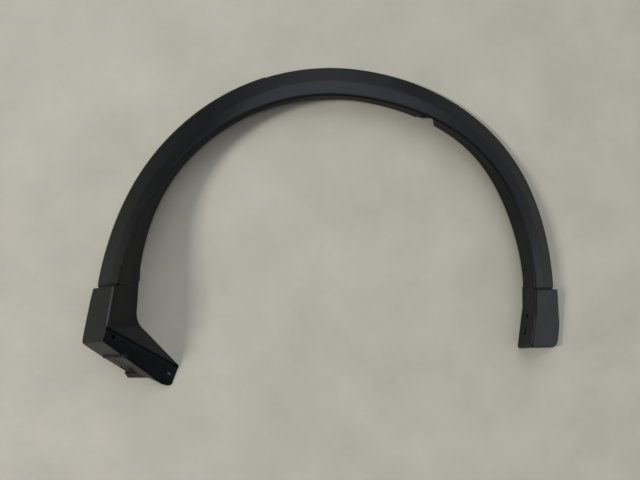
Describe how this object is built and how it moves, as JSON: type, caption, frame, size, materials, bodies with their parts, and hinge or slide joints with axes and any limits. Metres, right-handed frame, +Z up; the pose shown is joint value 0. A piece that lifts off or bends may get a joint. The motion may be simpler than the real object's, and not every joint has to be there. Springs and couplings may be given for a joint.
{
  "type": "wheel arch trim",
  "caption": "Arched black plastic moulding that covers the edge of a car's wheel opening, with a sloped face, a wall into the opening, a raised block at each end and screw holes.",
  "frame": {"origin": "Middle of the box round the trim in plan, on the floor that it lies on, face up.", "axes": "+X from the end with the foot to the plain end, along the longest extent. +Y from the open side of the arch to its crown. +Z up from the floor, away from the car's side."},
  "size_m": [0.9041, 0.6194, 0.1],
  "materials": {
    "black_plastic": "moulded in black with a fine grain and a low sheen"
  },
  "bodies": {
    "root": {"wheel_arch_trim": "black_plastic"}
  },
  "joints": []
}
